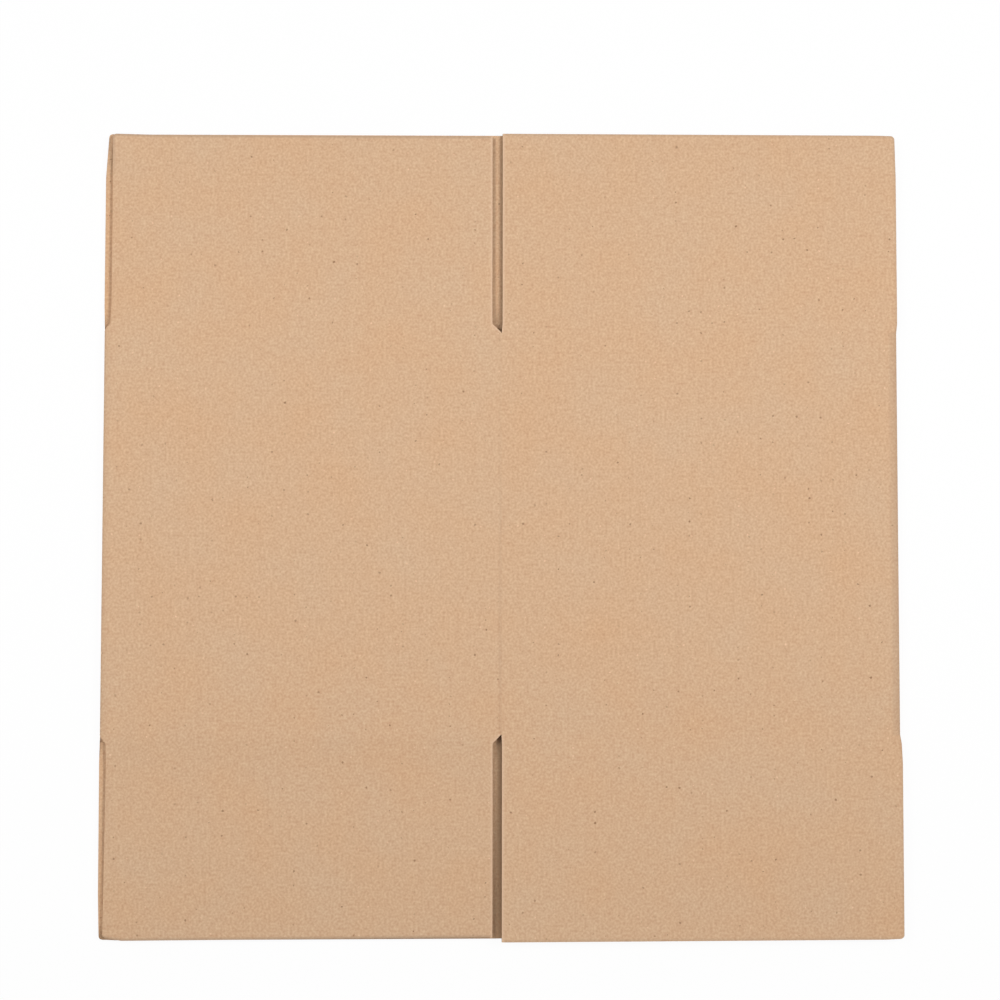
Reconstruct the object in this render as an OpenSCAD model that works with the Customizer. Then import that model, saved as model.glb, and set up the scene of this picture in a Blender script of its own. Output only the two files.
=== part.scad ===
// Regular slotted shipping carton in single-wall corrugated board, glued and folded flat.
// +X runs across the flutes, +Y along them, +Z up. The underside rests on Z = 0.
// Upper layer: a narrow-flap wall on the left and a wide-flap wall on the right.
// Lower layer: the other two walls, joined along the middle by a glued tab.

/* [Walls] */
// Width of one wall, from fold line to fold line
wall_w = 310; // [220:1:420]
// Height of the walls, between the flap score lines
wall_h = 311; // [150:1:450]

/* [Flaps] */
// Length of the wide flaps, at the middle of their free edge
wide_flap = 157.2; // [100:0.1:220]
// Length of the narrow flaps, at the middle of their free edge
narrow_flap = 156.2; // [100:0.1:220]
// How much longer an upper wide flap is beside the slot than at its fold
wide_rake = 2; // [0:0.1:4]
// How much shorter a narrow flap is beside the slot than at its fold
narrow_rake = 1.1; // [0:0.1:4]
// How far a wide flap stands past the folded edge
wide_overhang = 0; // [0:0.1:2]
// Radius of the flap corners at the folded edges
corner_r = 3; // [1:0.5:10]

/* [Slots] */
// Width of the slots between neighbouring flaps
slot_w = 7.4; // [4:0.1:12]
// Part of a slot that lies on the wide flap's side of the fold line
slot_wide_side = 1.3; // [0.5:0.1:3]

/* [Board] */
// Thickness of the corrugated board
board_t = 4; // [3:0.1:6]
// Thickness of the flat liners
liner_t = 0.4; // [0.3:0.05:0.6]
// Upright thickness of the fluted medium
medium_t = 0.45; // [0.3:0.05:0.6]
// Distance from one flute to the next
flute_pitch = 8.28; // [6:0.01:10]
// How far the flute tips are bonded into the liners
flute_bond = 0.1; // [0.05:0.01:0.2]

/* [Folds and scores] */
// Width of the crushed band beside each folded edge
fold_band = 10.5; // [9:0.1:16]
// Thickness of the board where it is crushed round the fold
fold_t = 2.6; // [1.5:0.1:3]
// Width of the crushed core under the middle fold line
crease_core = 6; // [4:0.1:10]
// Width of the groove along the middle fold line
crease_w = 3.4; // [2:0.1:6]
// Depth of the groove along the middle fold line
crease_d = 0.6; // [0.2:0.05:1]
// Width of the flap score lines
score_w = 2.4; // [1:0.1:5]
// Depth of the flap score lines
score_d = 0.15; // [0.05:0.01:0.2]

/* [Glued joint] */
// Width of the glue tab
tab_w = 35; // [20:1:50]
// Thickness of the glue tab, pressed thinner than the board
tab_t = 3; // [2.5:0.1:4]
// How much shorter the tab is at each end of its free edge
tab_taper = 10; // [3:1:20]
// Gap between the two lower walls, which the tab crosses as it steps up
joint_gap = 4.4; // [3:0.1:8]
// Depth of the glue bond between the tab and the wall
glue_bond = 0.05; // [0.02:0.01:0.1]
// Clearance between the tab and the upper layer
layer_clear = 0.2; // [0.1:0.05:1]

/* [Hidden] */
WAVE_STEPS = 6;
CORNER_STEPS = 4;
seat = 1;
past = 2;
gap = tab_t + layer_clear;
total_t = 2 * board_t + gap;
upper_z = total_t - board_t;
half_h = wall_h / 2;
slot_narrow_side = slot_w - slot_wide_side;
joint_x = slot_narrow_side - joint_gap;
fold_r = total_t / 2;
fold_x = wall_w - fold_r;
band_x = wall_w - fold_band;
wide_x = wall_w + wide_overhang;
narrow_x = wall_w - slot_narrow_side;
full_h = wall_h + 2 * wide_flap + 2 * wide_rake;
wave_h = board_t / 2 - liner_t - medium_t / 2;

// Height of the fluted medium's middle above the middle of a board
function wave(x, a) = a * cos(360 * x / flute_pitch);

// Places across a board where the medium's outline has a point
function wave_places(x0, x1) =
    let (step = flute_pitch / WAVE_STEPS)
    concat([x0], [for (i = [floor(x0 / step) + 1 : ceil(x1 / step) - 1]) i * step], [x1]);

// Quarter-round corner from angle a0, turning by a quarter
function corner(x, y, a0) =
    [for (i = [0 : CORNER_STEPS])
        let (a = a0 + 90 * i / CORNER_STEPS)
        [x + corner_r * cos(a), y + corner_r * sin(a)]];

// The points of one half outline seen in the other half, in the opposite order
function mirrored(points) = [for (i = [len(points) - 1 : -1 : 0]) [points[i].x, -points[i].y]];

// Section of a board of thickness t, with its two liners and the fluted medium
module board_section(x0, x1, t) {
    a = wave_h + flute_bond - (board_t - t) / 2;
    places = wave_places(x0, x1);
    over = [for (x = places) [x, t / 2 + wave(x, a) + medium_t / 2]];
    under = [for (x = places) [x, t / 2 + wave(x, a) - medium_t / 2]];
    translate([x0, 0]) square([x1 - x0, liner_t]);
    translate([x0, t - liner_t]) square([x1 - x0, liner_t]);
    polygon(concat(under, [for (i = [len(over) - 1 : -1 : 0]) over[i]]));
}

// Runs a section in X and Z along the flutes
module along_flutes(length) {
    rotate([90, 0, 0]) linear_extrude(height = length, center = true) children();
}

// Cuts a plan outline, drawn for one end of the box, from boards under it
module plan(points) {
    translate([0, 0, -past])
        linear_extrude(height = total_t + 2 * past) polygon(concat(points, mirrored(points)));
}

// Plan of a wide-flap wall on the right, from the fold to its edge at the middle
function wide_plan(edge_x, rake) =
    let (
        slot_y = half_h + wide_flap + wide_rake / 2,
        outer_y = slot_y - rake
    )
    concat(
        [[band_x, half_h], [wide_x, half_h]],
        corner(wide_x - corner_r, outer_y - corner_r, 0),
        [[edge_x, slot_y], [edge_x, half_h]]
    );

// Plan of the narrow-flap wall on the left, from the slot to the fold
function narrow_plan() =
    let (
        outer_y = half_h + narrow_flap + narrow_rake / 2,
        slot_y = half_h + narrow_flap - narrow_rake / 2
    )
    concat(
        [[-slot_narrow_side, half_h + slot_w], [-slot_narrow_side, slot_y]],
        corner(-narrow_x + corner_r, outer_y - corner_r, 90),
        [[-narrow_x, half_h + slot_w], [-narrow_x - slot_narrow_side, half_h], [-band_x, half_h]]
    );

// Bars along X that press a shallow score line into an outer face at the root of the flaps
module score_lines(z) {
    for (side = [-1, 1])
        translate([-wide_x - past, side * half_h - score_w / 2, z])
            cube([2 * (wide_x + past), score_w, score_d]);
}

// Upper two walls with their four flaps, the slots and the middle fold line
module upper_walls() {
    difference() {
        union() {
            intersection() {
                translate([0, 0, upper_z])
                    along_flutes(full_h) board_section(-wide_x - past, wide_x + past, board_t);
                plan(concat(wide_plan(slot_wide_side, wide_rake), narrow_plan()));
            }
            translate([-crease_core / 2, -half_h, upper_z + liner_t / 2])
                cube([crease_core, wall_h, board_t - liner_t]);
        }
        translate([0, 0, total_t]) along_flutes(wall_h)
            polygon([[-crease_w / 2, 0], [0, -crease_d], [crease_w / 2, 0], [0, crease_d]]);
        score_lines(total_t - score_d);
    }
}

// Lower two walls with their four flaps, parted along the middle
module lower_walls() {
    rotate([0, 180, 0]) translate([0, 0, -board_t]) difference() {
        intersection() {
            along_flutes(full_h) board_section(-wide_x - past, wide_x + past, board_t);
            plan(concat(wide_plan(-joint_x, 0), narrow_plan()));
        }
        translate([-slot_narrow_side, -full_h / 2, -past])
            cube([joint_gap, full_h, board_t + 2 * past]);
        score_lines(board_t - score_d);
    }
}

// Round folded edge on the right, with the crushed band that the boards run into
module folded_edge() {
    along_flutes(wall_h) difference() {
        union() {
            translate([band_x - seat, 0]) square([fold_x - band_x + seat, total_t]);
            translate([fold_x, fold_r]) circle(r = fold_r, $fn = 48);
        }
        translate([fold_x, fold_r]) circle(r = fold_r - fold_t, $fn = 48);
        translate([band_x - past, board_t]) square([fold_x - band_x + past, gap]);
    }
}

// Glue tab: it steps up from the right lower wall and is bonded inside the left one
module glue_tab() {
    base = board_t - glue_bond;
    step_x = joint_x + seat;
    intersection() {
        along_flutes(wall_h) {
            translate([0, base]) board_section(-tab_w, step_x, tab_t);
            polygon([
                [slot_narrow_side + seat, 0], [slot_narrow_side + seat, board_t],
                [slot_narrow_side, board_t], [step_x + seat, base + tab_t],
                [joint_x, base + tab_t], [joint_x, base],
                [slot_narrow_side - seat, 0]
            ]);
        }
        plan([
            [slot_narrow_side + past, half_h], [joint_x, half_h],
            [-tab_w, half_h - tab_taper]
        ]);
    }
}

module folded_box() {
    color("#d5b08f") union() {
        upper_walls();
        lower_walls();
        for (side = [0, 180])
            translate([0, 0, fold_r]) rotate([0, 0, side]) translate([0, 0, -fold_r]) folded_edge();
        glue_tab();
    }
}

folded_box();
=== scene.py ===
"""Looks of a flattened shipping box: brown corrugated board, slotted, scored, folded flat and glued."""
import math
from collections.abc import Callable
from dataclasses import dataclass

import bmesh
import bpy
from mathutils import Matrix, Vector, noise


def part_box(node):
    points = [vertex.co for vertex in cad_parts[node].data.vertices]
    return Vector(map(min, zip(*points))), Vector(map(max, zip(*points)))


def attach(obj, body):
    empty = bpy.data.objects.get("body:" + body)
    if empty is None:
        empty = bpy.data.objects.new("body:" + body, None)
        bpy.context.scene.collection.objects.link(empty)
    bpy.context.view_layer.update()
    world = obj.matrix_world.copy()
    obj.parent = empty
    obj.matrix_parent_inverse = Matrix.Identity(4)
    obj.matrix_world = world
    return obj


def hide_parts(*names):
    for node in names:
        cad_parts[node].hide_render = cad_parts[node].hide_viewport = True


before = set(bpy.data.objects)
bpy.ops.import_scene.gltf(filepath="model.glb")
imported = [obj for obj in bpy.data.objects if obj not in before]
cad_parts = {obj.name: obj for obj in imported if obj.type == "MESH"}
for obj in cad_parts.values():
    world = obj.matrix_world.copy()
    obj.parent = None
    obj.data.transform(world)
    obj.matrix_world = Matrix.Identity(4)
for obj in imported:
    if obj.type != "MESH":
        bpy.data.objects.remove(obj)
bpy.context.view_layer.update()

# Layers, sides and ends of the folded box
UPPER = "upper"
LOWER = "lower"
LEFT = -1
RIGHT = 1
NEAR = -1
FAR = 1

# Point values that tell the worn edges, which also carry painted shade, and the edges beside the slots,
# which carry a painted highlight or painted shade
EDGE_RIM = "edge_rim"
SLOT_RIM = "slot_rim"

# Sizes of the folded box, in metres
LOW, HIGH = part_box("folded_box")
TOTAL_T = HIGH.z - LOW.z
WALL_W = HIGH.x
HALF_H = 0.1555
WIDE_FLAP = HIGH.y - HALF_H
WIDE_RAKE = 0.002
NARROW_SHORTER = 0.002
NARROW_FLAP = WIDE_FLAP - NARROW_SHORTER
NARROW_RAKE = 0.0011
CORNER_R = 0.003
SLOT_W = 0.0074
SLOT_WIDE = 0.0013
SLOT_NARROW = SLOT_W - SLOT_WIDE
NARROW_X = WALL_W - SLOT_NARROW
JOINT_GAP = 0.0044
JOINT_X = SLOT_NARROW - JOINT_GAP

# Sizes of the board, its folds and the glue tab
BOARD_T = 0.004
LINER_T = 0.0004
MEDIUM_T = 0.00035
FLUTE_PITCH = 0.00828
FOLD_R = TOTAL_T / 2
FOLD_X = WALL_W - FOLD_R
FOLD_T = 0.0026
FOLD_ROUND = {LEFT: 0.8, RIGHT: 1.0}
FOLD_REACH = {LEFT: 0.90, RIGHT: 1.0}
CRUSH_BAND = 0.006
CREASE_W = 0.0034
CREASE_D = 0.0009
CREASE_FAR_SHARE = 0.15
CREASE_CRUSH = 0.0005
RIDGE_X = 0.0030
RIDGE_W = 0.0013
RIDGE_D = 0.00006
SCORE_W = 0.0024
SCORE_D = 0.00003
TAB_W = 0.035
TAB_T = 0.003
TAB_TAPER = 0.010
STEP_SEAT = 0.001
TAB_STEP = JOINT_GAP - STEP_SEAT

# How the edges of the board are pressed and worn, with painted shade on the worn edges, folds, crease and
# slots, and a painted highlight on the ridge
RIM_W = 0.0024
RIM_INNER = 0.0006
RIM_PINCH = 0.16
# Wear of the cut edges, which also carries painted shade at the flap ends, the right side edges and the far
# corners
WIDE_END_WEAR_AND_SHADE = 0.45
NARROW_END_WEAR_AND_SHADE = 0.85
# Painted shade on the folded edges, stronger on the right fold
FOLD_SHADE = {LEFT: 0.04, RIGHT: 0.22}
SIDE_WEAR_AND_SHADE = {LEFT: 0.0, RIGHT: 0.25}
FAR_CORNER_WEAR_AND_SHADE = {LEFT: 0.8, RIGHT: 0.5}
# Painted shade in the middle crease
CREASE_SHADE = 0.22
# Painted highlight on the ridge beside the middle crease
RIDGE_HIGHLIGHT = 0.16
# Painted shadow at the near corner of the lower left flap
NEAR_CORNER_SHADOW = 0.012
# Painted shade along the joint in the slot bottoms, wider towards the flap ends
JOINT_SHADE = 0.005
JOINT_SHADE_GROWTH = 0.6
FAR_JOINT_SHADE = 0.6
# Painted shadow line on the lower left flap beside the upper flap's edge, near the far corner
SIDE_SHADOW_X = 0.0043
SIDE_SHADOW_W = 0.0014

# How the flaps bend, sag and spring up, and how the faces wave
ROOT_BEND = 1.5 * SLOT_W
KNOCK_W = 0.035
DOG_EAR_W = 0.014
CURL_W = 0.008
CURL_D = 0.002
WIDE_SAG = 0.0019
NARROW_SAG = 0.0027
SAG_STEEPNESS = 6.0
WIDE_SPRING = 0.0038
SPRING_POWER = 1.5
CORNER_SPRING = 1.0
WASHBOARD_D = 0.00003
WAVE_D = 0.0003
WAVES_PER_M_X = 5.0
WAVES_PER_M_Y = 4.0
WAVE_SEED = 3.0

# Mesh spacing
LINER_STEP = FLUTE_PITCH / 4
INNER_STEP = FLUTE_PITCH
MEDIUM_STEP = FLUTE_PITCH / 6
ROW_STEP = 0.105
FOLD_STEPS = 12
GRID_HALF = 0.5
SAME_LINE = 0.00015
WELD = 0.00001
SHARP_ANGLE = math.radians(50)


def fade(distance, reach):
    """1 at a place, falling to 0 at the end of its reach."""
    return max(0.0, 1 - max(distance, 0.0) / reach)


def nearness(gap):
    """How near a point is to a cut edge, within the rim."""
    return fade(gap, RIM_W)


def smooth_share(x):
    """A share from 0 to 1 that starts and ends gently."""
    x = min(max(x, 0.0), 1.0)
    return x * x * (3 - 2 * x)


def flute_wave(a):
    """Height of the flutes across the board, from -1 to 1."""
    return math.cos(math.tau * a / FLUTE_PITCH)


def washboard(a):
    """How far the outer liner is drawn in between two flutes."""
    return WASHBOARD_D * (1 - flute_wave(a))


def score_depth(y):
    """Depth of the score line at the root of the flaps."""
    return SCORE_D * fade(abs(abs(y) - HALF_H), SCORE_W / 2)


def crease_share(y):
    """Share of the middle fold line's full depth: it is pressed deepest at its near end."""
    return CREASE_FAR_SHARE + (1 - CREASE_FAR_SHARE) * smooth_share(0.5 - y / (2 * HALF_H))


def groove_share(a, y):
    """How deep the middle fold line is at a point: 1 at its deepest."""
    return crease_share(y) * fade(abs(a), CREASE_W / 2)


def ridge_share(side, a, y):
    """How high the ridge beside the middle fold line is at a point: 1 at its highest."""
    return crease_share(y) * fade(abs(a * side + RIDGE_X), RIDGE_W)


def painted_slot_shade(to_joint, to_side, to_end, y):
    """Painted shade inside a lower wide flap: along the joint in the slot bottoms, and painted shadow at
    the near corner and beside the upper flap's edge.
    """
    if y > 0:
        beside = fade(abs(to_side - SIDE_SHADOW_X) - SIDE_SHADOW_W, RIM_INNER) * fade(to_end, KNOCK_W)
        return max(FAR_JOINT_SHADE * nearness(to_joint), beside)
    along = fade(to_joint, JOINT_SHADE * (1 + JOINT_SHADE_GROWTH * fade(to_end, WIDE_FLAP)))
    return max(along, fade(math.hypot(to_side, to_end), NEAR_CORNER_SHADOW))


def fold_place(side, depth, angle):
    """Place of a point that has gone round a fold: how far out from the middle, and its depth."""
    r = FOLD_R - depth
    out = FOLD_REACH[side] * r * max(math.sin(angle), 0.0) ** FOLD_ROUND[side]
    up = r * abs(math.cos(angle)) ** FOLD_ROUND[side]
    return FOLD_X + out, FOLD_R - math.copysign(up, math.cos(angle))


def root_place(wall, a, depth, beyond):
    """Bends the root of a flap towards the fold it grows out of."""
    angle = max(a - FOLD_X, 0.0) / (FOLD_R - FOLD_T / 2)
    if angle == 0:
        return a, depth
    share = fade(beyond, ROOT_BEND)
    if wall.layer == UPPER:
        out, deep = fold_place(wall.side, depth, angle)
    else:
        out, deep = fold_place(wall.side, 0.0, angle)
        deep += depth * (1 - min(angle, 1.0) * (1 - FOLD_T / BOARD_T))
    return a + share * (out - a), depth + share * (deep - depth)


@dataclass
class Wall:
    """One wall with its two flaps, measured outwards from the middle fold line."""

    layer: str
    side: int
    wall_in: float
    flap_in: float
    flap_out: float
    long_in: float
    long_out: float
    cut_in: bool
    end_wear_and_shade: float

    def flap_edges(self, beyond):
        """Inner and outer edge of a flap at a distance beyond its score line."""
        flare = fade(beyond, SLOT_W)
        inner = self.flap_in + flare * (self.wall_in - self.flap_in)
        outer = self.flap_out + flare * (WALL_W - self.flap_out)
        return inner, outer

    def holds(self, a, y):
        """Is a point of the plan on this wall or one of its flaps?"""
        beyond = abs(y) - HALF_H
        if beyond <= 0:
            return self.wall_in <= a <= FOLD_X
        inner, outer = self.flap_edges(beyond)
        return inner <= a <= outer

    def flap_length(self, a):
        """Length of the flap at a place along its free edge, which isn't quite square."""
        share = (a - self.flap_in) / (self.flap_out - self.flap_in)
        return self.long_in + share * (self.long_out - self.long_in)

    def wall_rims(self, a, y):
        """Painted shade of a point of the wall itself at its folds and middle crease, and its painted
        highlight on the ridge or how near it is to its cut.
        """
        fold = FOLD_SHADE[self.side] * nearness(FOLD_X - a)
        if self.layer == UPPER:
            crease_shade = CREASE_SHADE * groove_share(a, y)
            return max(fold, crease_shade), RIDGE_HIGHLIGHT * ridge_share(self.side, a, y)
        return fold, nearness(a - self.wall_in) if self.cut_in else 0.0

    def flap_rims(self, a, y, beyond):
        """How worn a point of a flap is towards its free edges, with painted shade on those edges, and how
        near it is to the slot, which brings a painted highlight or painted shade; a lower wide flap gets
        painted shade marks there instead.
        """
        inner, outer = self.flap_edges(beyond)
        to_end = self.flap_length(a) - beyond
        side_wear_and_shade = SIDE_WEAR_AND_SHADE[self.side]
        if self.layer == UPPER and y > 0:
            side_wear_and_shade = max(side_wear_and_shade, FAR_CORNER_WEAR_AND_SHADE[self.side] * fade(to_end, KNOCK_W))
        worn_and_shaded = max(side_wear_and_shade * nearness(outer - a), self.end_wear_and_shade * nearness(to_end))
        if self.cut_in:
            return worn_and_shaded, painted_slot_shade(a - inner, outer - a, to_end, y)
        return worn_and_shaded, nearness(a - inner)

    def rims(self, a, y):
        """Both rim values of a point of the plan: 1 on the edge."""
        beyond = abs(y) - HALF_H
        if beyond <= 0:
            return self.wall_rims(a, y)
        return self.flap_rims(a, y, beyond)


def wide_wall(layer, side, wall_in, rake, cut_in):
    """A wall whose flaps are as wide as itself, longer at the slot by a rake."""
    return Wall(
        layer, side, wall_in, flap_in=wall_in, flap_out=WALL_W,
        long_in=WIDE_FLAP, long_out=WIDE_FLAP - rake, cut_in=cut_in, end_wear_and_shade=WIDE_END_WEAR_AND_SHADE,
    )


def narrow_wall(layer, side, wall_in):
    """A wall whose flaps are narrower than itself by the slots."""
    return Wall(
        layer, side, wall_in, flap_in=SLOT_NARROW, flap_out=NARROW_X,
        long_in=NARROW_FLAP - NARROW_RAKE / 2, long_out=NARROW_FLAP + NARROW_RAKE / 2,
        cut_in=False, end_wear_and_shade=NARROW_END_WEAR_AND_SHADE,
    )


WALLS = [
    narrow_wall(UPPER, LEFT, -SLOT_WIDE),
    wide_wall(UPPER, RIGHT, SLOT_WIDE, rake=WIDE_RAKE, cut_in=False),
    wide_wall(LOWER, LEFT, -JOINT_X, rake=0.0, cut_in=True),
    narrow_wall(LOWER, RIGHT, SLOT_NARROW),
]


def lines(low, high, step, extra):
    """Sorted mesh lines from low to high: multiples of a step and the extra lines."""
    first = math.ceil(low / step)
    last = math.floor(high / step)
    even = [i * step for i in range(first, last + 1)]
    fixed = sorted(x for x in extra + [low, high] if low <= x <= high)
    kept = []
    for x in fixed:
        if not kept or x - kept[-1] > SAME_LINE:
            kept.append(x)
    free = [x for x in even if all(abs(x - k) > SAME_LINE for k in kept)]
    return sorted(kept + free)


def both_ways(values):
    """The values below and above the middle."""
    return [-v for v in values] + list(values)


def row_lines():
    """Mesh lines along the height, closer at the scores, the slot ends and the flap ends."""
    end = HALF_H + WIDE_FLAP
    keys = [HALF_H - SCORE_W / 2, HALF_H, HALF_H + SCORE_W / 2, HALF_H + SLOT_W, HALF_H + 3 * SLOT_W]
    keys += [end - KNOCK_W, end - CORNER_R, end - CORNER_R / 2, end - RIM_W, end - RIM_INNER, end]
    return lines(-end, end, ROW_STEP, both_ways(keys) + [NEAR_CORNER_SHADOW - end])


ROWS = row_lines()
WALL_ROWS = [y for y in ROWS if abs(y) <= HALF_H + SAME_LINE]


def column_lines(wall, step):
    """Mesh lines across a wall, closer at its folds, slots and edges."""
    keys = [wall.flap_in, wall.flap_out, FOLD_X - CRUSH_BAND / 2, FOLD_X]
    keys += [-CREASE_W / 2, 0.0, CREASE_W / 2, RIDGE_X, RIDGE_X + RIDGE_W]
    keys += [wall.flap_in + RIM_INNER, wall.flap_in + RIM_W, wall.flap_in + JOINT_SHADE]
    keys += [wall.flap_out - RIM_INNER, wall.flap_out - RIM_W, wall.flap_out - CORNER_R]
    return lines(wall.wall_in, WALL_W, step, keys)


def lined_grid(columns, rows):
    """A grid in X and Y with its lines at the given places."""
    bm = bmesh.new()
    across = len(columns) - 1
    along = len(rows) - 1
    bmesh.ops.create_grid(bm, x_segments=across, y_segments=along, size=GRID_HALF)
    for v in bm.verts:
        i = round((v.co.x + GRID_HALF) * across)
        j = round((v.co.y + GRID_HALF) * along)
        v.co = (columns[i], rows[j], 0)
    return bm


def cut_slot_root(bm, root, edge, end):
    """Cuts the slanted root of one slot into a wall's grid, from the fold line to the flap's edge."""
    low = min(root, edge) - SAME_LINE
    high = max(root, edge) + SAME_LINE
    near = []
    for f in bm.faces:
        c = f.calc_center_median()
        if low < c.x < high and 0 < c.y * end - HALF_H < SLOT_W:
            near.append(f)
    parts = set(near)
    for f in near:
        parts.update(f.edges)
        parts.update(f.verts)
    along = Vector((edge - root, end * SLOT_W, 0))
    across = along.cross(Vector((0, 0, 1))).normalized()
    start = Vector((root, end * HALF_H, 0))
    bmesh.ops.bisect_plane(bm, geom=list(parts), plane_co=start, plane_no=across, dist=WELD)


def cut_slots(bm, wall):
    """Cuts the slot roots of a wall and takes away what lies in the slots."""
    for end in (NEAR, FAR):
        for root, edge in ((wall.wall_in, wall.flap_in), (WALL_W, wall.flap_out)):
            if abs(root - edge) >= SAME_LINE:
                cut_slot_root(bm, root, edge, end)
    outside = []
    for f in bm.faces:
        c = f.calc_center_median()
        if not wall.holds(c.x, c.y):
            outside.append(f)
    bmesh.ops.delete(bm, geom=outside, context="FACES")


def round_corner(a, beyond, wall):
    """Draws the square outer corner of a flap in to its rounded outline."""
    side_start = wall.flap_out - CORNER_R
    end_start = wall.flap_length(a) - CORNER_R
    da = (a - side_start) / CORNER_R
    db = (beyond - end_start) / CORNER_R
    if da <= 0 or db <= 0:
        return a, beyond
    pull = max(da, db) / math.hypot(da, db)
    return side_start + da * pull * CORNER_R, end_start + db * pull * CORNER_R


@dataclass
class Shift:
    """How far a flap lies off its square outline, in metres, at its slot, end, side and outer corner."""

    slot: float = 0.0
    end_slot: float = 0.0
    end_fold: float = 0.0
    side_root: float = 0.0
    side_end: float = 0.0
    knocked: float = 0.0
    dog_ear: float = 0.0


# The seen flaps that aren't quite square, by layer, side and end
SHIFTS = {
    (UPPER, RIGHT, FAR): Shift(slot=0.0006, end_slot=-0.0007, knocked=0.0008, dog_ear=0.0004),
    (UPPER, RIGHT, NEAR): Shift(
        slot=0.0005, end_slot=-0.0005, side_root=0.0006, side_end=0.0005, dog_ear=0.0006,
    ),
    (UPPER, LEFT, NEAR): Shift(slot=-0.0006, end_fold=0.0020, side_end=0.0014, dog_ear=0.0024),
    (LOWER, LEFT, FAR): Shift(end_slot=-0.0008, side_root=0.0002, side_end=0.0002, knocked=0.0024),
    (LOWER, LEFT, NEAR): Shift(
        end_slot=-0.0005, end_fold=0.0013, side_root=0.0002, side_end=-0.0003,
        knocked=0.0008, dog_ear=0.0008,
    ),
}


def uneven_flap(a, beyond, wall, end):
    """Moves a point of a flap a little, as its outline isn't quite square and its corner is knocked in."""
    shift = SHIFTS.get((wall.layer, wall.side, end))
    if shift is None:
        return a, beyond
    to_side = wall.flap_out - a
    to_end = wall.flap_length(a) - beyond
    outward = beyond / wall.flap_length(a)
    across = min(max(a / WALL_W, 0.0), 1.0)
    near_side = fade(to_side, KNOCK_W)
    beyond += outward * (shift.end_slot + across * (shift.end_fold - shift.end_slot))
    beyond -= shift.dog_ear * fade(to_side, DOG_EAR_W) * fade(to_end, DOG_EAR_W)
    a += near_side * (shift.side_root + outward * (shift.side_end - shift.side_root))
    a -= near_side * shift.knocked * fade(to_end, KNOCK_W)
    a += shift.slot * fade(a - wall.flap_in, KNOCK_W) * min(beyond / SLOT_W, 1.0)
    return a, beyond


def curl(wall, to_side, beyond):
    """How far the side of a lower wide flap still curls up, as it grew out of the fold."""
    if wall.layer == UPPER or wall.flap_out < WALL_W or beyond <= 0:
        return 0.0
    return CURL_D * fade(to_side, CURL_W) ** 2 * (1 - fade(beyond, ROOT_BEND))


def board_at(wall, a, y):
    """Depth of the outer face and thickness of the board at a point of the plan."""
    outer = washboard(a) + score_depth(y)
    thick = BOARD_T
    if abs(y) <= HALF_H:
        thick -= (BOARD_T - FOLD_T) * smooth_share((a - FOLD_X + CRUSH_BAND) / CRUSH_BAND)
        if wall.layer == UPPER:
            outer += CREASE_D * groove_share(a, y)
            outer -= RIDGE_D * ridge_share(wall.side, a, y)
            thick -= CREASE_CRUSH * fade(abs(a), CREASE_W)
    return outer, thick


def outer_liner_depth(outer, thick, a):
    """Depth of the outer liner's face in a board."""
    return outer


def medium_depth(outer, thick, a):
    """Depth of the fluted medium's face between the two liners."""
    room = (thick - outer - 2 * LINER_T - MEDIUM_T) / 2
    middle = (thick + outer - MEDIUM_T) / 2
    return middle - room * flute_wave(a)


def inner_liner_depth(outer, thick, a):
    """Depth of the inner liner's face in a board."""
    return thick - LINER_T


@dataclass
class Ply:
    """One of the three papers of the board: its mesh step, its thickness and the depth of its face."""

    step: float
    thick: float
    depth: Callable


# The papers of the board, in the order of the materials
PLIES = [
    Ply(LINER_STEP, LINER_T, outer_liner_depth),
    Ply(MEDIUM_STEP, MEDIUM_T, medium_depth),
    Ply(INNER_STEP, LINER_T, inner_liner_depth),
]


def pinched(depth, thick, rim):
    """Depth of a ply near a cut edge, where the knife has pressed the board together."""
    press = RIM_PINCH * rim ** 2
    return thick / 2 + (depth - thick / 2) * (1 - press)


def wall_sheet(wall, ply):
    """One ply of a wall and its two flaps, as an open sheet where the box has it."""
    bm = lined_grid(column_lines(wall, ply.step), ROWS)
    cut_slots(bm, wall)
    edge_layer = bm.verts.layers.float.new(EDGE_RIM)
    slot_layer = bm.verts.layers.float.new(SLOT_RIM)
    for v in bm.verts:
        a, y = v.co.x, v.co.y
        end = FAR if y > 0 else NEAR
        beyond = abs(y) - HALF_H
        if beyond > 0:
            beyond *= wall.flap_length(a) / WIDE_FLAP
            y = end * (HALF_H + beyond)
        outer, thick = board_at(wall, a, y)
        v[edge_layer], v[slot_layer] = wall.rims(a, y)
        depth = pinched(ply.depth(outer, thick, a), thick, max(v[edge_layer], v[slot_layer]))
        lift = curl(wall, wall.flap_out - a, beyond)
        if beyond > 0:
            a, beyond = round_corner(a, beyond, wall)
            a, beyond = uneven_flap(a, beyond, wall, end)
            y = end * (HALF_H + beyond)
        a, depth = root_place(wall, a, depth, beyond)
        z = TOTAL_T - depth if wall.layer == UPPER else depth + lift
        v.co = (a * wall.side, y, z)
    return bm


def fold_sheet(side, ply):
    """One ply round a folded edge."""
    angles = [math.pi * i / FOLD_STEPS for i in range(FOLD_STEPS + 1)]
    bm = lined_grid(angles, WALL_ROWS)
    edge_layer = bm.verts.layers.float.new(EDGE_RIM)
    for v in bm.verts:
        # The whole fold sheet gets painted shade
        v[edge_layer] = FOLD_SHADE[side]
        angle = v.co.x
        a = FOLD_X
        if 0 < angle < math.pi:
            a += angle * (FOLD_R - FOLD_T / 2)
        depth = ply.depth(washboard(FOLD_X) + score_depth(v.co.y), FOLD_T, a)
        out, deep = fold_place(side, depth, angle)
        v.co = (side * out, v.co.y, TOTAL_T - deep)
    return bm


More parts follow.
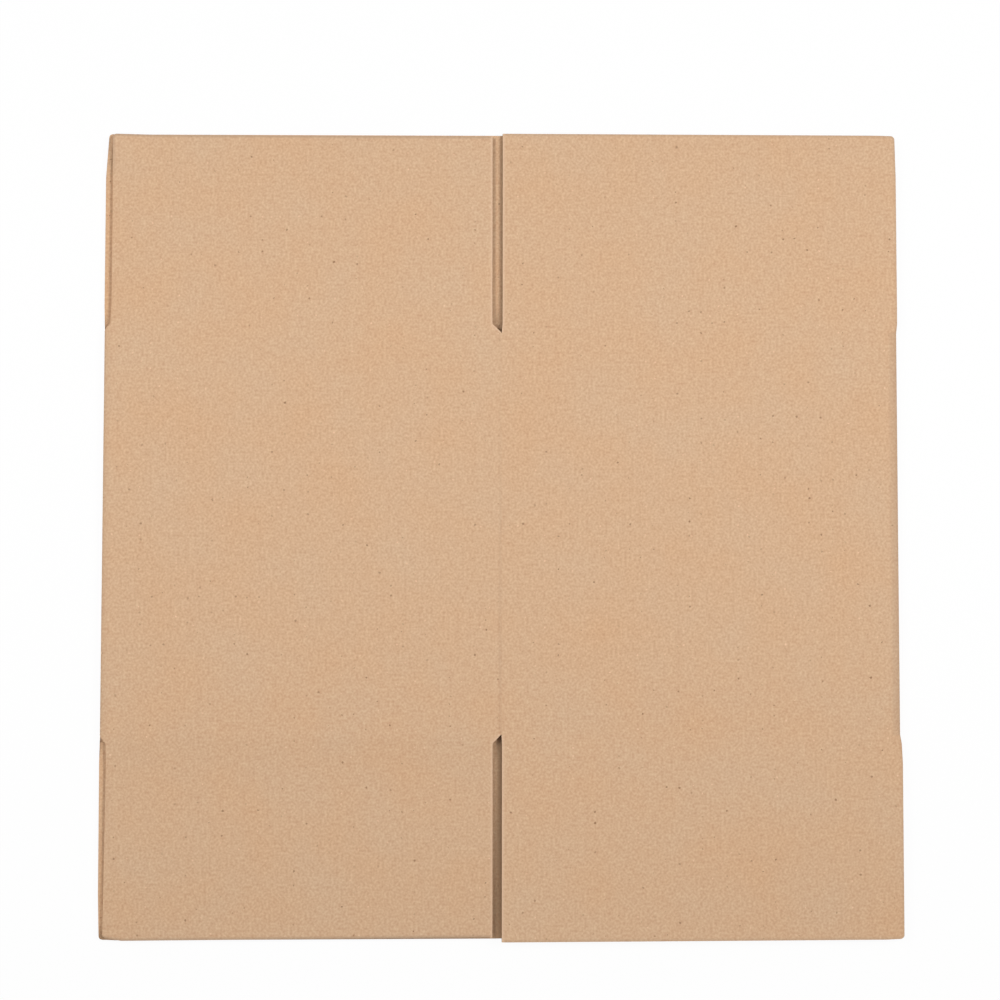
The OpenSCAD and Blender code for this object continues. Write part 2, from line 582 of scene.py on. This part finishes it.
def tab_sheet(ply):
    """One ply of the glue tab, which steps up from the lower wall on the right."""
    step_x = SLOT_NARROW - TAB_STEP
    columns = lines(-TAB_W, SLOT_NARROW, ply.step, [step_x, SLOT_NARROW - TAB_STEP / 2, 0.0])
    bm = lined_grid(columns, WALL_ROWS)
    for v in bm.verts:
        x, y = v.co.x, v.co.y
        rise = smooth_share((SLOT_NARROW - x) / TAB_STEP)
        taper = TAB_TAPER * max(0.0, step_x - x) / (step_x + TAB_W)
        thick = BOARD_T - (BOARD_T - TAB_T) * rise
        depth = ply.depth(washboard(x) + score_depth(y), thick, x)
        v.co = (x, y * (1 - taper / HALF_H), BOARD_T * rise + depth)
    return bm


def flap_lift(x, y):
    """How far an upper flap lies above flat: most rest on the flap below, one springs up at its slot."""
    beyond = (abs(y) - HALF_H) / WIDE_FLAP
    if beyond <= 0:
        return 0.0
    if x > 0 and y < 0:
        return WIDE_SPRING * beyond ** SPRING_POWER * fade(x, WALL_W)
    sag = WIDE_SAG if x > 0 else NARROW_SAG
    rest = -sag * smooth_share(SAG_STEEPNESS * beyond)
    if x < 0 and y > 0:
        to_corner = math.hypot(x + NARROW_X, y - HALF_H - NARROW_FLAP)
        rest *= 1 - CORNER_SPRING * fade(to_corner, KNOCK_W)
    return rest


def settle(co):
    """Lets a point of the flat model lie as the sprung, slightly wavy card does."""
    if co.z <= TOTAL_T / 2:
        return co.copy()
    wave = WAVE_D * noise.noise(Vector((co.x * WAVES_PER_M_X, co.y * WAVES_PER_M_Y, WAVE_SEED)))
    return Vector((co.x, co.y, co.z + wave + flap_lift(co.x, co.y)))


def rimmed_mesh():
    """An empty mesh that keeps both rim values of its points."""
    bm = bmesh.new()
    bm.verts.layers.float.new(EDGE_RIM)
    bm.verts.layers.float.new(SLOT_RIM)
    return bm


def add_mesh(bm, part):
    """Adds a part to a mesh and frees the part."""
    scratch = bpy.data.meshes.new("scratch")
    part.to_mesh(scratch)
    part.free()
    bm.from_mesh(scratch)
    bpy.data.meshes.remove(scratch)


def ply_mesh(ply):
    """The whole ply, from the lower wall on the left round to the glue tab, with its thickness."""
    bm = rimmed_mesh()
    for wall in WALLS:
        add_mesh(bm, wall_sheet(wall, ply))
    for side in (LEFT, RIGHT):
        add_mesh(bm, fold_sheet(side, ply))
    add_mesh(bm, tab_sheet(ply))
    bmesh.ops.remove_doubles(bm, verts=bm.verts[:], dist=WELD)
    bmesh.ops.recalc_face_normals(bm, faces=bm.faces[:])
    highest = max(bm.faces, key=lambda f: f.calc_center_median().z)
    if highest.normal.z < 0:
        bmesh.ops.reverse_faces(bm, faces=bm.faces[:])
    bmesh.ops.solidify(bm, geom=bm.faces[:], thickness=ply.thick)
    return bm


def placed(name, data):
    """A new object in the scene."""
    thing = bpy.data.objects.new(name, data)
    bpy.context.scene.collection.objects.link(thing)
    return thing


def folded_board():
    """The box as one mesh, with one material index for each paper."""
    bm = rimmed_mesh()
    for index, ply in enumerate(PLIES):
        part = ply_mesh(ply)
        for f in part.faces:
            f.material_index = index
            f.smooth = True
        add_mesh(bm, part)
    for v in bm.verts:
        v.co = settle(v.co)
    mesh = bpy.data.meshes.new("corrugated_box")
    bm.to_mesh(mesh)
    bm.free()
    mesh.set_sharp_from_angle(angle=SHARP_ANGLE)
    return placed("corrugated_box", mesh)


# Colours of the papers, as seen in plain light, and of the painted shade and painted highlight at their
# edges and slots
OUTER_BROWN = (0.668, 0.436, 0.270)
INNER_BROWN = (0.705, 0.455, 0.275)
MEDIUM_BROWN = (0.520, 0.340, 0.215)
SPECK_BROWN = (0.310, 0.165, 0.085)
FLECK_PALE = (0.838, 0.572, 0.374)
# Brown of worn cut edges, which also stands for painted shade at the edges, folds and crease
WORN_AND_SHADED_EDGE_BROWN = (0.400, 0.270, 0.185)
# Paler torn paper at cut edges, which also stands for a painted highlight along the slot edges of the upper
# flaps and on the ridge beside the crease
TORN_PALE_AND_HIGHLIGHT = (0.780, 0.545, 0.370)
# Painted shade and painted shadow in the slots, on the medium's cut edges there, at the near corner and
# beside the upper flap's edge
SLOT_SHADE_BROWN = (0.300, 0.180, 0.100)

# Grain of the paper and the slow drift of its hue
GRAIN_PER_M = 540.0
GRAIN_TINT = (0.59, 1.00, 1.11)
MOTTLE_PER_M = 170.0
MOTTLE_SHARE = 0.3
FINE_DETAIL = 1.0
DRIFT_PER_M = 18.0
DRIFT_DETAIL = 2.5
DRIFT_WARM = (1.011, 0.962, 0.912, 1)
DRIFT_COOL = (0.989, 1.038, 1.088, 1)
NAP_STRENGTH = 0.12
NAP_DEPTH = 0.0002
PAPER_ROUGHNESS = 0.88
PAPER_SHEEN = 0.2

# Spots in the paper, of which most are small
SPECKS_PER_M = 108.0
SPECK_R = 0.00104
FLECKS_PER_M = 140.0
FLECK_R = 0.0009
SPOT_SOFT = 0.0003
SPOT_SIZE_POWER = 4.0
WOBBLE_PER_M = 700.0
WOBBLE = 0.0011

# How the worn colour with its painted shade, and the painted highlight or painted shade beside the slots,
# come in towards the edges
EDGE_POWER = 0.8
SLOT_POWER = 1.0
SLOT_SHARE = 0.8

# Sockets of the colour mix node and the shader mix node
MIX_FACTOR = 0
MIX_UNDER = 6
MIX_OVER = 7
MIX_RESULT = 2
SHADER_UNDER = 1
SHADER_OVER = 2


def new_material(name):
    """A new material with shader nodes."""
    material = bpy.data.materials.new(name)
    material.use_nodes = True
    return material


def add_node(tree, kind, **values):
    """Adds a shader node and sets its sockets by name."""
    node = tree.nodes.new(kind)
    for name, value in values.items():
        node.inputs[name].default_value = value
    return node


def worked(tree, operation, a, b):
    """The result of a sum on two values, each a socket or a number."""
    node = tree.nodes.new("ShaderNodeMath")
    node.operation = operation
    for socket, value in zip(node.inputs, (a, b)):
        if isinstance(value, bpy.types.NodeSocket):
            tree.links.new(value, socket)
        else:
            socket.default_value = value
    return node.outputs["Value"]


def product(tree, a, b):
    """Two values multiplied."""
    return worked(tree, "MULTIPLY", a, b)


def laid_over(tree, under, colour, share):
    """A colour laid over another by a share."""
    node = tree.nodes.new("ShaderNodeMix")
    node.data_type = "RGBA"
    tree.links.new(share, node.inputs[MIX_FACTOR])
    tree.links.new(under, node.inputs[MIX_UNDER])
    node.inputs[MIX_OVER].default_value = (*colour, 1)
    return node.outputs[MIX_RESULT]


def tinted(tree, under, hue):
    """A colour multiplied by a hue."""
    node = tree.nodes.new("ShaderNodeMix")
    node.data_type = "RGBA"
    node.blend_type = "MULTIPLY"
    node.inputs[MIX_FACTOR].default_value = 1.0
    tree.links.new(under, node.inputs[MIX_UNDER])
    tree.links.new(hue, node.inputs[MIX_OVER])
    return node.outputs[MIX_RESULT]


def noise_of(tree, place, scale, detail):
    """A noise on the plan of the box, so that it is the same on flat and sagged flaps."""
    node = add_node(tree, "ShaderNodeTexNoise", Scale=scale, Detail=detail)
    node.noise_dimensions = "2D"
    tree.links.new(place, node.inputs["Vector"])
    return node


def toned(tree, value, low, high):
    """Runs a value from one colour to another."""
    node = tree.nodes.new("ShaderNodeValToRGB")
    node.color_ramp.elements[0].color = low
    node.color_ramp.elements[1].color = high
    tree.links.new(value, node.inputs["Fac"])
    return node.outputs["Color"]


def grained(colour, share):
    """A paper colour made darker or paler by a share, so that its hue looks the same."""
    shaded = [channel * (1 + share * tint) for channel, tint in zip(colour, GRAIN_TINT)]
    return (*shaded, 1.0)


def scattered(tree, place, per_m, largest):
    """Scattered spots of many sizes: how much of one covers a place, and a chance value for each."""
    wobble = noise_of(tree, place, WOBBLE_PER_M, FINE_DETAIL)
    moved = tree.nodes.new("ShaderNodeVectorMath")
    moved.operation = "MULTIPLY_ADD"
    push, scale, start = moved.inputs[:3]
    tree.links.new(wobble.outputs["Color"], push)
    scale.default_value = (WOBBLE, WOBBLE, 0)
    tree.links.new(place, start)
    cells = add_node(tree, "ShaderNodeTexVoronoi", Scale=per_m)
    cells.voronoi_dimensions = "2D"
    tree.links.new(moved.outputs["Vector"], cells.inputs["Vector"])
    chance = tree.nodes.new("ShaderNodeSeparateColor")
    tree.links.new(cells.outputs["Color"], chance.inputs["Color"])
    size = worked(tree, "POWER", chance.outputs["Red"], SPOT_SIZE_POWER)
    reach = worked(tree, "DIVIDE", cells.outputs["Distance"], per_m)
    within = worked(tree, "SUBTRACT", product(tree, size, largest), reach)
    inside = worked(tree, "MAXIMUM", worked(tree, "DIVIDE", within, SPOT_SOFT), 0.0)
    return worked(tree, "MINIMUM", inside, 1.0), chance.outputs["Green"]


def spotted(tree, paper, place, per_m, largest, colour, most):
    """Paper with scattered spots of a colour, each as strong as chance has it."""
    cover, chance = scattered(tree, place, per_m, largest)
    share = product(tree, product(tree, cover, chance), most)
    return laid_over(tree, paper, colour, share)


def rim_share(tree, name, power, most):
    """A share that grows towards a cut edge."""
    rim = tree.nodes.new("ShaderNodeAttribute")
    rim.attribute_name = name
    return product(tree, worked(tree, "POWER", rim.outputs["Fac"], power), most)


def brown_paper(name, colour, slot_colour, grain_share, speck_share, edge_share):
    """Recycled brown paper: fine grain, slow drift of hue, brown specks, pale flecks, dull cut edges that
    also carry painted shade, and a painted highlight or painted shade beside the slots.
    """
    material = new_material(name)
    tree = material.node_tree
    shader = tree.nodes["Principled BSDF"]
    shader.inputs["Roughness"].default_value = PAPER_ROUGHNESS
    shader.inputs["Specular IOR Level"].default_value = PAPER_SHEEN
    place = tree.nodes.new("ShaderNodeTexCoord").outputs["Object"]
    grain = noise_of(tree, place, GRAIN_PER_M, FINE_DETAIL).outputs["Fac"]
    mottle = noise_of(tree, place, MOTTLE_PER_M, FINE_DETAIL).outputs["Fac"]
    fibres = worked(tree, "ADD", grain, product(tree, mottle, MOTTLE_SHARE))
    evened = worked(tree, "DIVIDE", fibres, 1 + MOTTLE_SHARE)
    tone = toned(tree, evened, grained(colour, -grain_share), grained(colour, grain_share))
    drift = noise_of(tree, place, DRIFT_PER_M, DRIFT_DETAIL).outputs["Fac"]
    paper = tinted(tree, tone, toned(tree, drift, DRIFT_WARM, DRIFT_COOL))
    paper = spotted(tree, paper, place, SPECKS_PER_M, SPECK_R, SPECK_BROWN, speck_share)
    paper = spotted(tree, paper, place, FLECKS_PER_M, FLECK_R, FLECK_PALE, speck_share)
    # Worn edges with painted shade at the cut edges, folds and crease
    paper = laid_over(tree, paper, WORN_AND_SHADED_EDGE_BROWN, rim_share(tree, EDGE_RIM, EDGE_POWER, edge_share))
    # Painted highlight on the outer liner and painted shade on the medium and inner liner beside the slots
    paper = laid_over(tree, paper, slot_colour, rim_share(tree, SLOT_RIM, SLOT_POWER, SLOT_SHARE))
    tree.links.new(paper, shader.inputs["Base Color"])
    nap = add_node(tree, "ShaderNodeBump", Strength=NAP_STRENGTH, Distance=NAP_DEPTH)
    tree.links.new(grain, nap.inputs["Height"])
    tree.links.new(nap.outputs["Normal"], shader.inputs["Normal"])
    return material


box = folded_board()
papers = [
    brown_paper(
        "outer_liner", OUTER_BROWN, TORN_PALE_AND_HIGHLIGHT, grain_share=0.32, speck_share=0.9, edge_share=0.7,
    ),
    brown_paper(
        "fluted_medium", MEDIUM_BROWN, SLOT_SHADE_BROWN, grain_share=0.40, speck_share=0.6, edge_share=0.5,
    ),
    brown_paper(
        "inner_liner", INNER_BROWN, SLOT_SHADE_BROWN, grain_share=0.32, speck_share=0.8, edge_share=0.0,
    ),
]
for paper in papers:
    box.data.materials.append(paper)
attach(box, "root")
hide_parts("folded_box")

# Camera, nearly straight above the box and a little towards its near end
IMAGE_SIDE = 1000
PIXELS_PER_M = 1289.1
BOX_CENTRE_PX = (499.94, 532.4)
CAMERA_DISTANCE = 1.080
CAMERA_TILT = math.radians(2.207)
CAMERA_ROLL = math.radians(0.062)
SENSOR_MM = 36.0

# Part of its whiteness that the floor shows whatever shadow lies on it, and the floor's paper
FLOOR_WHITE = 0.94
FLOOR_REACH = 6.0
FLOOR_PAPER = (0.95, 0.95, 0.95, 1)
FLOOR_ROUGHNESS = 0.8

# Light of the studio, and two softboxes by name, side and power
WHITE = (1, 1, 1, 1)
WHITE_STRENGTH = 1.0
STUDIO_LIGHT = 0.36
SOFTBOX_SIZE = 0.5
SOFTBOX_PLACE = (0.8, 0.28, 1.3)
SOFTBOXES = [
    ("softbox_left", LEFT, 8.6),
    ("softbox_right", RIGHT, 9.7),
]


def aim_camera():
    """Looks down at the box from the place that the photo was taken from."""
    middle = IMAGE_SIDE / 2
    centre_x, centre_y = BOX_CENTRE_PX
    aim = Vector(((middle - centre_x) / PIXELS_PER_M, (centre_y - middle) / PIXELS_PER_M, TOTAL_T))
    back = Vector((0, -math.sin(CAMERA_TILT), math.cos(CAMERA_TILT)))
    seen_side = IMAGE_SIDE / PIXELS_PER_M
    lens = bpy.data.cameras.new("camera")
    lens.sensor_width = SENSOR_MM
    lens.lens = SENSOR_MM * CAMERA_DISTANCE / seen_side
    camera = placed("camera", lens)
    camera.location = aim + back * CAMERA_DISTANCE
    camera.rotation_euler = (CAMERA_TILT, 0, CAMERA_ROLL)
    bpy.context.scene.camera = camera


def seen_ray(tree):
    """1 for the rays that show the backdrop, straight or by mirror or glass, 0 for those that light."""
    path = tree.nodes.new("ShaderNodeLightPath")
    seen = worked(tree, "MAXIMUM", path.outputs["Is Camera Ray"], path.outputs["Is Glossy Ray"])
    return worked(tree, "MAXIMUM", seen, path.outputs["Is Transmission Ray"])


def pale_floor():
    """A white paper floor that keeps a faint shadow of the box."""
    material = new_material("pale_floor")
    tree = material.node_tree
    lit = tree.nodes["Principled BSDF"]
    lit.inputs["Base Color"].default_value = FLOOR_PAPER
    lit.inputs["Roughness"].default_value = FLOOR_ROUGHNESS
    glow = add_node(tree, "ShaderNodeEmission", Strength=WHITE_STRENGTH)
    mix = tree.nodes.new("ShaderNodeMixShader")
    tree.links.new(product(tree, seen_ray(tree), FLOOR_WHITE), mix.inputs["Fac"])
    tree.links.new(lit.outputs["BSDF"], mix.inputs[SHADER_UNDER])
    tree.links.new(glow.outputs["Emission"], mix.inputs[SHADER_OVER])
    tree.links.new(mix.outputs["Shader"], tree.nodes["Material Output"].inputs["Surface"])
    return material


def floor():
    """The floor that the box lies on."""
    bm = bmesh.new()
    bmesh.ops.create_grid(bm, x_segments=2, y_segments=2, size=FLOOR_REACH)
    mesh = bpy.data.meshes.new("floor")
    bm.to_mesh(mesh)
    bm.free()
    mesh.materials.append(pale_floor())
    ground = placed("floor", mesh)
    ground.location.z = LOW.z


def studio():
    """Soft white light from all round, with a backdrop that shows white."""
    world = bpy.data.worlds.new("studio")
    world.use_nodes = True
    tree = world.node_tree
    backdrop = tree.nodes["Background"]
    backdrop.inputs["Color"].default_value = WHITE
    strength = worked(tree, "MAXIMUM", seen_ray(tree), STUDIO_LIGHT)
    tree.links.new(strength, backdrop.inputs["Strength"])
    bpy.context.scene.world = world


def softbox(name, side, power):
    """A softbox high on one side, turned to the middle of the box."""
    light = bpy.data.lights.new(name, "AREA")
    light.size = SOFTBOX_SIZE
    light.energy = power
    lamp = placed(name, light)
    x, y, z = SOFTBOX_PLACE
    lamp.location = (side * x, y, z)
    lamp.rotation_euler = (-lamp.location).to_track_quat("-Z", "Y").to_euler()


aim_camera()
floor()
studio()
for name, side, power in SOFTBOXES:
    softbox(name, side, power)

bpy.context.scene.view_settings.view_transform = "Standard"
